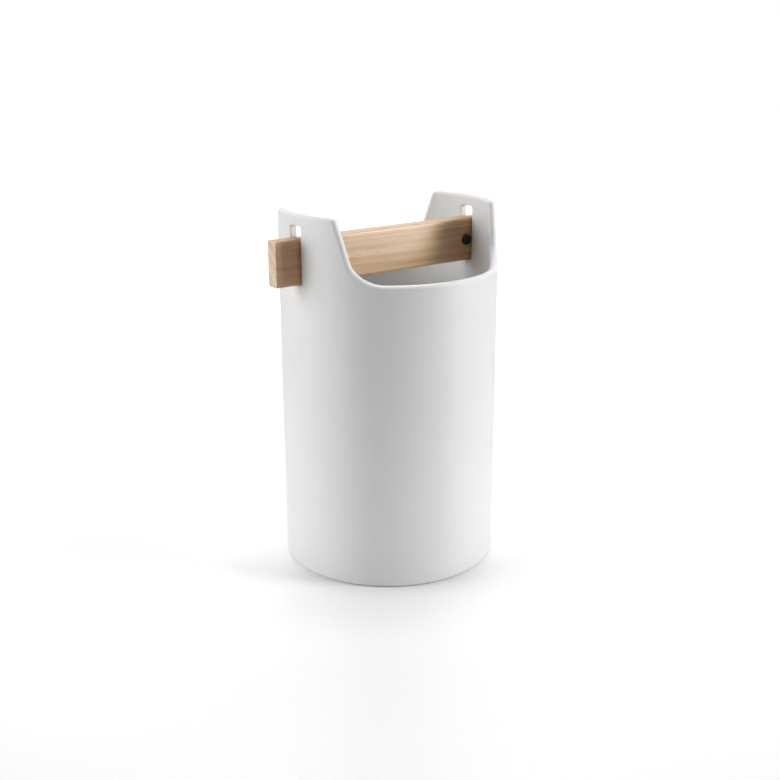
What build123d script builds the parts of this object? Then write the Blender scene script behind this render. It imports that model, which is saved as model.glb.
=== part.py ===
from build123d import *
import math
import os

# Utensil holder: a tall round ceramic vessel, cut down at the front and back so that
# two ears stand up at the sides. A flat oak bar runs through a window in each ear,
# and a soft peg just inside each ear keeps the bar from sliding out.
# Millimetres. +Z is up, X runs along the bar, and -Y is the front.
# The origin is the middle of the foot.

# Vessel
vessel_diameter = 120.0
vessel_height = 200.0
wall_thickness = 4.2
floor_thickness = 6.0
floor_corner_radius = 9.0
base_edge_radius = 2.0
foot_ring_width = 7.0
foot_recess_depth = 1.5
foot_recess_corner_radius = 1.0
rim_edge_radius = 2.0

# Ears and notches, measured on the outer surface
ear_width = 53.0
ear_corner_radius = 1.5
notch_depth = 33.0
notch_side_slope = 10.0
notch_corner_radius = 13.0

# Oak bar
bar_height = 24.5
bar_thickness = 8.3
bar_end_overhang = 14.3
bar_edge_radius = 1.6
bar_end_edge_radius = 0.8

# Windows that carry the bar
window_side_clearance = 0.5
window_top_clearance = 6.2
window_edge_radius = 0.8
ceramic_above_window = 6.3

# Stop pegs
peg_diameter = 6.0
peg_catch = 1.4
peg_end_edge_radius = 1.0
peg_hole_clearance = 0.05
peg_wall_clearance = 0.3

# Worked out from the sizes above
outer_radius = vessel_diameter / 2
inner_radius = outer_radius - wall_thickness
foot_recess_radius = outer_radius - foot_ring_width
notch_bottom_z = vessel_height - notch_depth
rim_rounding = min(rim_edge_radius, 0.47 * wall_thickness)

bar_length = vessel_diameter + 2 * bar_end_overhang
bar_end_rounding = min(bar_end_edge_radius, 0.75 * bar_edge_radius)

window_width = bar_thickness + 2 * window_side_clearance
window_height = bar_height + window_top_clearance
sill_z = vessel_height - ceramic_above_window - window_height
bar_centre_z = sill_z + bar_height / 2

peg_radius = peg_diameter / 2
peg_length = window_width + 2 * peg_catch
wall_x_at_peg_end = math.sqrt(inner_radius**2 - (peg_length / 2) ** 2)
peg_x = wall_x_at_peg_end - peg_wall_clearance - peg_radius


def distance_from_axis(point):
    """How far a point lies from the vessel's upright axis."""
    return math.hypot(point.X, point.Y)


def stays_on_one_side(edge):
    """True for an edge along the wall's outer or inner surface, not across the wall."""
    return abs(distance_from_axis(edge @ 0) - distance_from_axis(edge @ 1)) < 0.01


def rounds_the_rim(edge):
    """True for both long edges of the rim, from ear to notch bottom and back."""
    return stays_on_one_side(edge) and edge.center().Z > notch_bottom_z - 0.01


def rounds_a_window(edge):
    """True for the edges where a window breaks through an ear's surfaces."""
    middle = edge.center()
    in_width = abs(middle.Y) < window_width / 2 + 0.01
    in_height = sill_z - 0.01 < middle.Z < sill_z + window_height + 0.01
    return stays_on_one_side(edge) and in_width and in_height


# Notch cutter. Its outline is drawn from the front. The patch that it leaves on the
# outer surface is then thickened, so that the cut stands square to the wall all round.
cut_top_z = vessel_height + wall_thickness
side_run = math.tan(math.radians(notch_side_slope))
half_width_at_ears = math.sqrt(outer_radius**2 - (ear_width / 2) ** 2)
half_width_at_bottom = half_width_at_ears - side_run * notch_depth
half_width_at_top = half_width_at_ears + side_run * (cut_top_z - vessel_height)

with BuildPart() as notch_blank:
    with BuildSketch(Plane.XZ):
        with BuildLine():
            FilletPolyline(
                (-half_width_at_top, cut_top_z),
                (-half_width_at_bottom, notch_bottom_z),
                (half_width_at_bottom, notch_bottom_z),
                (half_width_at_top, cut_top_z),
                radius=notch_corner_radius,
            )
            Line((half_width_at_top, cut_top_z), (-half_width_at_top, cut_top_z))
        make_face()
    extrude(amount=vessel_diameter)
    Cylinder(
        outer_radius,
        2 * vessel_height,
        align=(Align.CENTER, Align.CENTER, Align.MIN),
        mode=Mode.INTERSECT,
    )

notch_patch = notch_blank.faces().filter_by(GeomType.CYLINDER).sort_by(Axis.Y)[0]

with BuildPart() as notch_cutter:
    thicken(notch_patch, 2 * wall_thickness, both=True)


# Ceramic vessel
with BuildPart() as vessel:
    # The wall, floor and foot ring in one turned section
    with BuildSketch(Plane.YZ):
        with BuildLine():
            FilletPolyline(
                (0, foot_recess_depth),
                (foot_recess_radius, foot_recess_depth),
                (foot_recess_radius, 0),
                (outer_radius, 0),
                (outer_radius, vessel_height),
                (inner_radius, vessel_height),
                (inner_radius, floor_thickness),
                (0, floor_thickness),
                radius=[foot_recess_corner_radius, 0, base_edge_radius, 0, 0, floor_corner_radius],
            )
            Line((0, floor_thickness), (0, foot_recess_depth))
        make_face()
    revolve(axis=Axis.Z)

    # Front and back notches, with the ears' top corners and the whole rim rounded
    with PolarLocations(0, 2):
        add(notch_cutter.part, mode=Mode.SUBTRACT)
    ear_corners = vessel.edges().group_by(Axis.Z)[-1].sort_by(SortBy.LENGTH)[:4]
    fillet(ear_corners, rim_rounding + ear_corner_radius)
    fillet(vessel.edges().filter_by(rounds_the_rim), rim_rounding)

    # A window through each ear, its corners rounded like the bar's edges
    with BuildSketch(Plane.YZ):
        with Locations((0, sill_z + window_height / 2)):
            RectangleRounded(window_width, window_height, bar_edge_radius)
    extrude(amount=vessel_diameter, both=True, mode=Mode.SUBTRACT)
    fillet(vessel.edges().filter_by(rounds_a_window), window_edge_radius)


# Oak bar, seated on both sills, with a hole for each peg
with BuildPart() as handle_bar:
    with Locations((0, 0, bar_centre_z)):
        Box(bar_length, bar_thickness, bar_height)
    fillet(handle_bar.edges().filter_by(Axis.X), bar_edge_radius)
    bar_ends = handle_bar.faces().filter_by(Axis.X)
    fillet(bar_ends.edges(), bar_end_rounding)
    with BuildSketch(Plane.XZ):
        with Locations((-peg_x, bar_centre_z), (peg_x, bar_centre_z)):
            Circle(peg_radius + peg_hole_clearance)
    extrude(amount=bar_thickness, both=True, mode=Mode.SUBTRACT)


# Stop pegs through the bar, one just inside each ear
with BuildPart() as stop_peg_right:
    with BuildSketch(Plane.XZ):
        with Locations((peg_x, bar_centre_z)):
            Circle(peg_radius)
    extrude(amount=peg_length / 2, both=True)
    peg_ends = stop_peg_right.faces().filter_by(Axis.Y)
    fillet(peg_ends.edges(), peg_end_edge_radius)

with BuildPart() as stop_peg_left:
    add(stop_peg_right.part)
    mirror(about=Plane.YZ, mode=Mode.REPLACE)


os.makedirs("parts", exist_ok=True)

vessel.part.label = "vessel"
export_step(vessel.part, "parts/vessel.step")

handle_bar.part.label = "handle_bar"
export_step(handle_bar.part, "parts/handle_bar.step")

stop_peg_right.part.label = "stop_peg_right"
export_step(stop_peg_right.part, "parts/stop_peg_right.step")

stop_peg_left.part.label = "stop_peg_left"
export_step(stop_peg_left.part, "parts/stop_peg_left.step")
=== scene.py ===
"""Dresses the utensil holder in glaze, oak and rubber, on a white table in a white studio."""

import math

import bpy
from mathutils import Matrix, Vector


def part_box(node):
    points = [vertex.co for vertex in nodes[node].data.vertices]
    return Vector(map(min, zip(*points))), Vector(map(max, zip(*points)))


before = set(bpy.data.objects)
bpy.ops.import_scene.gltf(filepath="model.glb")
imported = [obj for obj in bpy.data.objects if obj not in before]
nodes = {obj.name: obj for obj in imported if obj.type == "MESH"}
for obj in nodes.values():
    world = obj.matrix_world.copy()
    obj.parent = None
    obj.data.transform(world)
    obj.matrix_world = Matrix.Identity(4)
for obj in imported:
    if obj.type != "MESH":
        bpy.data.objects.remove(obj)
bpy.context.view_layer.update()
scene = bpy.context.scene
scene.view_settings.view_transform = "Standard"

# Sizes from the frame. Every length here is in metres, and every angle in degrees.
vessel_low, vessel_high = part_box("vessel")
bar_low, bar_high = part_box("handle_bar")
VESSEL_RADIUS = vessel_high[1]
VESSEL_MIDDLE = (vessel_low[2] + vessel_high[2]) / 2
BAR_END = bar_high[0]
BAR_MIDDLE = (bar_low[2] + bar_high[2]) / 2

# Camera, where the photograph was taken from
CAMERA_AZIMUTH = 36.665
CAMERA_ELEVATION = 17.40
CAMERA_ROLL = -0.15
CAMERA_DISTANCE = 0.6650
FOCAL_PIXELS = 1168.4
FRAME_PIXELS = 780
SENSOR_WIDTH = 36.0
AIM_HEIGHT = 0.09389
AIM_RIGHT = 0.00073
CLIP_START = 0.01
CLIP_END = 50.0

# Soft boxes: angle round from the camera, elevation, width, height, watts
SOFTBOX_DISTANCE = 1.2
SOFTBOXES = {
    "softbox_left": (79.0, 14.0, 0.9, 1.2, 12.6),
    "softbox_right": (-77.0, 14.0, 0.35, 1.2, 13.0),
    "softbox_back": (180.0, 60.0, 0.8, 0.8, 3.5),
    "softbox_top": (180.0, 84.0, 0.4, 0.4, 5.0),
}

# How bright the white world is for rays that neither see it nor mirror it
DIFFUSE_SKY = 0.01

# Table. Each span is where a change starts and where it is full, out from the vessel's axis.
TABLE_HALF = 3.0
TABLE_GAP = 0.0001
TABLE_NEAR = (0.94, 0.94, 0.94, 1)
TABLE_FAR = (0.40, 0.40, 0.40, 1)
TABLE_DULLS = (0.11, 0.54)
TABLE_ROUGHNESS = 0.13
TABLE_IOR = 1.6

# Light that only the camera sees on the table. Less of it in front of the foot is a painted contact
# shadow.
NEAR_LIFT = 0.152
# The lift further out and behind the vessel is partly painted light over the shadows it casts on
# the table
BESIDE_LIFT = 0.105
BESIDE_SPAN = (0.14, 0.28)
BEHIND_LIFT = 0.100
FAR_LIFT = 1.00
FAR_SPAN = (0.26, 0.71)
# Painted contact shadow on the table in front of the foot
FOOT_PAINTED_SHADOW = -0.09
FOOT_PAINTED_SHADOW_WIDTH = 0.018
FOOT_PAINTED_SHADOW_ENDS_BEHIND = (-0.055, -0.020)
MOST_LIFT = 1.0

# Glaze and clay. Heights are above the table.
GLAZE_THICK = (0.835, 0.842, 0.845, 1)
GLAZE_THIN = (0.862, 0.864, 0.858, 1)
GLAZE_MOTTLE = (0.80, 0.80, 0.785, 1)
GLAZE_SPECK = (0.42, 0.38, 0.33, 1)
GLAZE_ROUGHNESS = (0.40, 0.50)
SPECK_CELLS = 95.0
SPECK_DEPTH = 0.22
CLAY_DARK = (0.60, 0.53, 0.44, 1)
CLAY_PALE = (0.74, 0.68, 0.59, 1)
CLAY_ROUGHNESS = 0.85
CLAY_ENDS = (0.0003, 0.0006)
CLAY_WANDERS = 0.00025

# Oak. Spans along the bar are out from its middle.
OAK_EARLY = (0.775, 0.515, 0.292, 1)
OAK_LATE = (0.640, 0.388, 0.190, 1)
OAK_CLOUD = (0.800, 0.555, 0.340, 1)
OAK_STREAK = (0.430, 0.245, 0.115, 1)
OAK_FIBRE = (0.800, 0.570, 0.355, 1)
OAK_FLECK = (0.810, 0.610, 0.410, 1)
OAK_PORE = (0.220, 0.120, 0.058, 1)
# Painted shade towards both ends of the bar, where the vessel and its ears shade it
OAK_PAINTED_SHADE = (0.750, 0.630, 0.510, 1)
PAINTED_SHADE_SPAN = (0.028, 0.050)
PAINTED_SHADE_WANDERS = 0.005
# Painted light: the sawn end faces keep their rings but are painted paler, as a brightly lit end
# looks
SAWN_PAINTED_LIGHT_EARLY = (0.865, 0.725, 0.570, 1)
SAWN_PAINTED_LIGHT_LATE = (0.695, 0.530, 0.370, 1)
SAWN_PAINTED_LIGHT_SPAN = (BAR_END - 0.0007, BAR_END - 0.0001)
OAK_ROUGHNESS = (0.35, 0.45)
HANDLED_SMOOTHER = 0.07
HANDLED_SPAN = (0.012, 0.05)
OAK_SPECULAR = 0.90

# Growth rings lie round a line along X, behind the bar and below its middle
PITH_BEHIND = 0.060
PITH_BELOW = 0.04725
RINGS_PER_METRE = 300.0
RINGS_WANDER = 2.6
RINGS_SWAY = 0.006

# Rubber
RUBBER_BLACK = (0.011, 0.009, 0.008, 1)
RUBBER_DUST = (0.032, 0.027, 0.023, 1)
RUBBER_ROUGHNESS = (0.55, 0.72)
RUBBER_SPECULAR = 0.25

WHITE = (1, 1, 1, 1)
SURFACE_IOR = 1.5


def view_axes(azimuth, elevation):
    """Right, up and backward directions of a view from -Y, turned by the azimuth towards -X."""
    a, e = math.radians(azimuth), math.radians(elevation)
    back = Vector((-math.sin(a) * math.cos(e), -math.cos(a) * math.cos(e), math.sin(e)))
    right = Vector((math.cos(a), -math.sin(a), 0.0))
    return right, back.cross(right), back


def placed(right, up, back, position):
    """The world matrix of an object that looks along its own -Z."""
    matrix = Matrix((right, up, back)).transposed().to_4x4()
    matrix.translation = position
    return matrix


def make_camera():
    """The photograph's camera, which looks at a point close to the vessel's axis."""
    right, up, back = view_axes(CAMERA_AZIMUTH, CAMERA_ELEVATION)
    roll = math.radians(CAMERA_ROLL)
    tilted_right = right * math.cos(roll) + up * math.sin(roll)
    tilted_up = up * math.cos(roll) - right * math.sin(roll)
    aim = Vector((0.0, 0.0, AIM_HEIGHT)) + right * AIM_RIGHT
    data = bpy.data.cameras.new("camera")
    data.sensor_fit = "HORIZONTAL"
    data.sensor_width = SENSOR_WIDTH
    data.lens = FOCAL_PIXELS * SENSOR_WIDTH / FRAME_PIXELS
    data.clip_start = CLIP_START
    data.clip_end = CLIP_END
    camera = bpy.data.objects.new("camera", data)
    scene.collection.objects.link(camera)
    camera.matrix_world = placed(tilted_right, tilted_up, back, aim + back * CAMERA_DISTANCE)
    scene.camera = camera


class Nodes:
    """A short way to write a node tree. An input is a value or another node's output."""

    def __init__(self, tree):
        self.tree = tree
        tree.nodes.clear()

    def add(self, kind, inputs=None, **settings):
        """A node of a kind, with its settings, and with its inputs by name or number."""
        node = self.tree.nodes.new(kind)
        for name, value in settings.items():
            setattr(node, name, value)
        for name, value in (inputs or {}).items():
            socket = node.inputs[name]
            if isinstance(value, bpy.types.NodeSocket):
                self.tree.links.new(value, socket)
            else:
                socket.default_value = value
        return node

    def math(self, operation, *values):
        """One step of arithmetic, on one value or two."""
        node = self.add("ShaderNodeMath", dict(enumerate(values)), operation=operation)
        return node.outputs[0]

    def plus(self, first, second):
        return self.math("ADD", first, second)

    def times(self, first, second):
        return self.math("MULTIPLY", first, second)

    def ramp(self, value, low, high, new_low=0.0, new_high=1.0, kind="LINEAR"):
        """Takes low to high onto new_low to new_high in a straight line, and goes no further."""
        inputs = {
            "Value": value,
            "From Min": low,
            "From Max": high,
            "To Min": new_low,
            "To Max": new_high,
        }
        return self.add("ShaderNodeMapRange", inputs, interpolation_type=kind).outputs[0]

    def fade(self, value, low, high, new_low=0.0, new_high=1.0):
        """As ramp, but eases in and out."""
        return self.ramp(value, low, high, new_low, new_high, "SMOOTHSTEP")

    def mix(self, factor, first, second, blend="MIX"):
        """Two colours mixed. The node's sockets share names, so they are given by number."""
        inputs = {0: factor, 6: first, 7: second}
        return self.add("ShaderNodeMix", inputs, data_type="RGBA", blend_type=blend).outputs[2]

    def mix_numbers(self, factor, first, second):
        """Two numbers mixed."""
        inputs = {0: factor, 2: first, 3: second}
        return self.add("ShaderNodeMix", inputs, data_type="FLOAT").outputs[0]

    def split(self, vector):
        """The X, Y and Z of a vector."""
        return self.add("ShaderNodeSeparateXYZ", {0: vector}).outputs

    def scaled(self, vector, scales):
        return self.add("ShaderNodeMapping", {"Vector": vector, "Scale": scales}).outputs[0]

    def noise(self, vector, scale, detail=2.0, roughness=0.5):
        """Smooth noise from 0 to 1. Its scale is about how many features lie on a metre."""
        inputs = {"Vector": vector, "Scale": scale, "Detail": detail, "Roughness": roughness}
        return self.add("ShaderNodeTexNoise", inputs).outputs["Fac"]

    def grain(self, vector, scales, detail=2.0, roughness=0.5):
        """Stretched noise, with a scale each along X, Y and Z."""
        return self.noise(self.scaled(vector, scales), 1.0, detail, roughness)

    def cells(self, vector, scale):
        """Scattered cells: how far a point is from its cell's middle, and the cell's colour."""
        outputs = self.add("ShaderNodeTexVoronoi", {"Vector": vector, "Scale": scale}).outputs
        return outputs["Distance"], outputs["Color"]

    def bump(self, height, distance, strength, below=None):
        """A bumped normal, on top of the one below it."""
        inputs = {"Height": height, "Distance": distance, "Strength": strength}
        if below is not None:
            inputs["Normal"] = below
        return self.add("ShaderNodeBump", inputs).outputs[0]


def new_material(name):
    """An empty material, its node tree, and the place of a point in metres."""
    material = bpy.data.materials.new(name)
    material.use_nodes = True
    b = Nodes(material.node_tree)
    return material, b, b.add("ShaderNodeTexCoord").outputs["Object"]


def finish_material(b, colour, roughness, normal, specular=0.5):
    """Ends a node tree in a shader for a solid surface."""
    inputs = {
        "Base Color": colour,
        "Roughness": roughness,
        "Normal": normal,
        "IOR": SURFACE_IOR,
        "Specular IOR Level": specular,
    }
    shader = b.add("ShaderNodeBsdfPrincipled", inputs)
    b.add("ShaderNodeOutputMaterial", {"Surface": shader.outputs[0]})


def glaze_material():
    """White satin glaze over pale clay, which is bare where the foot ring stands on the table."""
    material, b, place = new_material("white_satin_glaze")
    height = b.split(place)[2]

    # A cool white, with faint clouds where the glaze lies thicker, and a fine mottle
    clouds = b.noise(place, scale=26.0, detail=3.0, roughness=0.55)
    glaze = b.mix(b.ramp(clouds, 0.35, 0.68), GLAZE_THICK, GLAZE_THIN)
    mottle = b.noise(place, scale=420.0, roughness=0.6)
    glaze = b.mix(b.ramp(mottle, 0.62, 0.78, 0.0, 0.35), glaze, GLAZE_MOTTLE)

    # A few faint specks, in about one cell of seven, each about half a millimetre across
    from_middle, cell_colour = b.cells(place, SPECK_CELLS)
    spot = b.fade(from_middle, 0.02, 0.035, 1.0, 0.0)
    cell_number = b.add("ShaderNodeSeparateColor", {0: cell_colour}).outputs[0]
    speck = b.times(spot, b.ramp(cell_number, 0.86, 0.87))
    glaze = b.mix(b.times(speck, SPECK_DEPTH), glaze, GLAZE_SPECK)

    # Bare clay on the foot ring, with an uneven glaze line just above it
    wander = b.ramp(b.noise(place, scale=160.0), 0.3, 0.7, -CLAY_WANDERS, CLAY_WANDERS)
    bare = b.fade(b.plus(height, wander), *CLAY_ENDS, 1.0, 0.0)
    grit = b.noise(place, scale=2600.0, roughness=0.7)
    clay = b.mix(b.ramp(grit, 0.3, 0.75), CLAY_DARK, CLAY_PALE)
    colour = b.mix(bare, glaze, clay)

    # Satin, a little uneven, and dull on the bare clay
    sheen = b.noise(place, scale=55.0, detail=3.0, roughness=0.6)
    satin = b.ramp(sheen, 0.3, 0.7, *GLAZE_ROUGHNESS)
    roughness = b.mix_numbers(bare, satin, CLAY_ROUGHNESS)

    # The slow waves of a cast wall, a fine satin skin, the specks as tiny pits, and the clay's grit
    cast = b.grain(place, (30.0, 30.0, 18.0), detail=1.5)
    waves = b.bump(cast, distance=0.00035, strength=0.5)
    fine = b.noise(place, scale=1500.0, roughness=0.6)
    skin = b.bump(fine, distance=0.00002, strength=0.5, below=waves)
    pits = b.bump(b.times(speck, -1.0), distance=0.00006, strength=0.6, below=skin)
    gritty = b.bump(b.times(grit, bare), distance=0.00012, strength=0.8, below=pits)
    finish_material(b, colour, roughness, gritty)
    return material


def growth_rings(b, place):
    """How far a point is through its year's growth, from 0 to 1. The rings sway along the bar."""
    y, z = b.split(place)[1:]
    swaying = b.grain(place, (6.0, 22.0, 22.0), detail=2.5)
    sway = b.ramp(swaying, 0.25, 0.75, -RINGS_SWAY, RINGS_SWAY)
    across = b.plus(b.plus(y, -PITH_BEHIND), sway)
    upward = b.plus(b.plus(z, PITH_BELOW - BAR_MIDDLE), sway)
    radius = b.math("SQRT", b.plus(b.times(across, across), b.times(upward, upward)))

    # Good and bad years, as noise along the radius
    along = {"W": b.times(radius, RINGS_PER_METRE / 2), "Scale": 1.0, "Detail": 2.0}
    years = b.add("ShaderNodeTexNoise", along, noise_dimensions="1D").outputs["Fac"]
    grown = b.plus(b.times(radius, RINGS_PER_METRE), b.times(years, RINGS_WANDER))
    return b.math("FRACT", grown)


def oak_material():
    """Oiled oak from one board: the rings run along X, and show as arcs on the two ends."""
    material, b, place = new_material("oiled_oak")
    outward = b.math("ABSOLUTE", b.split(place)[0])
    ring = growth_rings(b, place)
    late = b.times(b.fade(ring, 0.15, 0.9), b.fade(ring, 0.93, 1.0, 1.0, 0.0))

    # Fibres, drifting streaks, clouds, flecks, and pores in the early wood, all long along X
    fibre = b.grain(place, (30.0, 1600.0, 1600.0), detail=3.0, roughness=0.6)
    streak = b.grain(place, (11.0, 330.0, 330.0), detail=3.0, roughness=0.6)
    cloud = b.grain(place, (14.0, 70.0, 70.0))
    fleck = b.fade(b.grain(place, (70.0, 520.0, 120.0), detail=1.0), 0.64, 0.72)
    from_middle = b.cells(b.scaled(place, (130.0, 2100.0, 2100.0)), 1.0)[0]
    early = b.ramp(ring, 0.04, 0.42, 1.0, 0.10)
    pore = b.times(b.fade(from_middle, 0.14, 0.30, 1.0, 0.0), early)

    wood = b.mix(late, OAK_EARLY, OAK_LATE)
    wood = b.mix(b.ramp(cloud, 0.35, 0.7, 0.0, 0.5), wood, OAK_CLOUD)
    wood = b.mix(b.ramp(streak, 0.48, 0.76, 0.0, 0.75), wood, OAK_STREAK)
    wood = b.mix(b.ramp(fibre, 0.50, 0.8, 0.0, 0.30), wood, OAK_FIBRE)
    wood = b.mix(b.times(fleck, 0.22), wood, OAK_FLECK)
    wood = b.mix(b.times(pore, 0.50), wood, OAK_PORE)

    # Painted shade: the bar is darkened unevenly towards both ends, where the vessel and its ears
    # shade it
    drift = b.ramp(cloud, 0.3, 0.7, -PAINTED_SHADE_WANDERS, PAINTED_SHADE_WANDERS)
    painted_shade = b.fade(b.plus(outward, drift), *PAINTED_SHADE_SPAN)
    wood = b.mix(painted_shade, wood, OAK_PAINTED_SHADE, "MULTIPLY")
    # Painted light: the sawn end faces are painted paler, with their rings kept
    sawn_painted_light = b.mix(late, SAWN_PAINTED_LIGHT_EARLY, SAWN_PAINTED_LIGHT_LATE)
    wood = b.mix(b.fade(outward, *SAWN_PAINTED_LIGHT_SPAN, 0.0, 0.75), wood, sawn_painted_light)

    # The middle, where hands close round the bar, is smoother
    handled = b.fade(outward, *HANDLED_SPAN, 1.0, 0.0)
    rough = b.ramp(fibre, 0.3, 0.7, *OAK_ROUGHNESS)
    roughness = b.math("SUBTRACT", rough, b.times(handled, HANDLED_SMOOTHER))

    # Fibres and late wood stand up a little, and the pores are open
    relief = b.plus(b.times(fibre, 0.6), b.times(late, 0.8))
    raised = b.bump(relief, distance=0.00004, strength=0.6)
    open_pores = b.bump(b.times(pore, -1.0), distance=0.00010, strength=0.7, below=raised)
    finish_material(b, wood, roughness, open_pores, OAK_SPECULAR)
    return material


def rubber_material():
    """Moulded black rubber, dull and faintly dusty."""
    material, b, place = new_material("black_rubber")
    fine = b.noise(place, scale=3200.0, detail=3.0, roughness=0.65)
    dust = b.noise(place, scale=700.0, roughness=0.6)
    colour = b.mix(b.ramp(dust, 0.45, 0.8, 0.0, 0.5), RUBBER_BLACK, RUBBER_DUST)
    roughness = b.ramp(fine, 0.3, 0.7, *RUBBER_ROUGHNESS)
    normal = b.bump(fine, distance=0.00003, strength=0.6)
    finish_material(b, colour, roughness, normal, RUBBER_SPECULAR)
    return material


def table_lift(b, place, away):
    """The light that the camera sees added to the table, so that it meets the white backdrop."""
    a = math.radians(CAMERA_AZIMUTH)
    inputs = {0: place, 1: (math.sin(a), math.cos(a), 0.0)}
    product = b.add("ShaderNodeVectorMath", inputs, operation="DOT_PRODUCT")
    behind = product.outputs["Value"]
    # Further out and behind the vessel, the lift is partly painted light over the shadows that the
    # vessel casts on the table
    near = b.fade(away, *BESIDE_SPAN, NEAR_LIFT, NEAR_LIFT + BESIDE_LIFT)
    rear = b.fade(behind, -VESSEL_RADIUS, VESSEL_RADIUS, 0.0, BEHIND_LIFT)
    far = b.fade(away, *FAR_SPAN, 0.0, FAR_LIFT)
    # Painted contact shadow: the lift is cut in front of the foot
    foot = b.fade(away, VESSEL_RADIUS, VESSEL_RADIUS + FOOT_PAINTED_SHADOW_WIDTH, FOOT_PAINTED_SHADOW, 0.0)
    foot = b.times(foot, b.fade(behind, *FOOT_PAINTED_SHADOW_ENDS_BEHIND, 1.0, 0.0))
    total = b.plus(b.plus(b.plus(near, rear), far), foot)
    return b.math("MINIMUM", total, MOST_LIFT)


def table_material():
    """White and glossy near the vessel, and duller further off, so that less light comes back."""
    material, b, place = new_material("white_table")
    seen = b.add("ShaderNodeLightPath").outputs["Is Camera Ray"]
    length = b.add("ShaderNodeVectorMath", {0: place}, operation="LENGTH")
    away = length.outputs["Value"]
    inputs = {
        "Base Color": b.mix(b.fade(away, *TABLE_DULLS), TABLE_NEAR, TABLE_FAR),
        "Roughness": TABLE_ROUGHNESS,
        "IOR": TABLE_IOR,
        "Emission Color": WHITE,
        "Emission Strength": b.times(seen, table_lift(b, place, away)),
    }
    shader = b.add("ShaderNodeBsdfPrincipled", inputs)
    b.add("ShaderNodeOutputMaterial", {"Surface": shader.outputs[0]})
    return material


def make_floor():
    """The table: one flat square, a hair under the foot."""
    h = TABLE_HALF
    mesh = bpy.data.meshes.new("floor")
    mesh.from_pydata([(-h, -h, 0), (h, -h, 0), (h, h, 0), (-h, h, 0)], [], [(0, 1, 2, 3)])
    mesh.materials.append(table_material())
    floor = bpy.data.objects.new("floor", mesh)
    floor.location = (0, 0, -TABLE_GAP)
    scene.collection.objects.link(floor)


def make_world():
    """White where it is seen, mirrored or looked through, and dim and even for all else."""
    world = bpy.data.worlds.new("studio")
    scene.world = world
    world.use_nodes = True
    b = Nodes(world.node_tree)
    path = b.add("ShaderNodeLightPath").outputs
    seen = b.math("MAXIMUM", path["Is Camera Ray"], path["Is Glossy Ray"])
    seen = b.math("MAXIMUM", seen, path["Is Transmission Ray"])
    strength = b.ramp(seen, 0.0, 1.0, DIFFUSE_SKY, 1.0)
    light = b.add("ShaderNodeBackground", {"Color": WHITE, "Strength": strength})
    b.add("ShaderNodeOutputWorld", {"Surface": light.outputs[0]})


def make_softbox(name, turn, elevation, width, height, watts):
    """A soft box that faces the vessel's middle, turned round from the camera's azimuth."""
    right, up, back = view_axes(CAMERA_AZIMUTH + turn, elevation)
    position = Vector((0.0, 0.0, VESSEL_MIDDLE)) + back * SOFTBOX_DISTANCE
    data = bpy.data.lights.new(name, "AREA")
    data.shape = "RECTANGLE"
    data.size = width
    data.size_y = height
    data.energy = watts
    lamp = bpy.data.objects.new(name, data)
    scene.collection.objects.link(lamp)
    lamp.matrix_world = placed(right, up, back, position)
    lamp.visible_camera = False


def wear(node_name, material):
    """Gives a CAD node a finish, in every slot it has."""
    for slot in nodes[node_name].material_slots:
        slot.material = material


make_camera()
make_world()
make_floor()
for softbox_name, softbox_values in SOFTBOXES.items():
    make_softbox(softbox_name, *softbox_values)

rubber = rubber_material()
wear("vessel", glaze_material())
wear("handle_bar", oak_material())
wear("stop_peg_right", rubber)
wear("stop_peg_left", rubber)
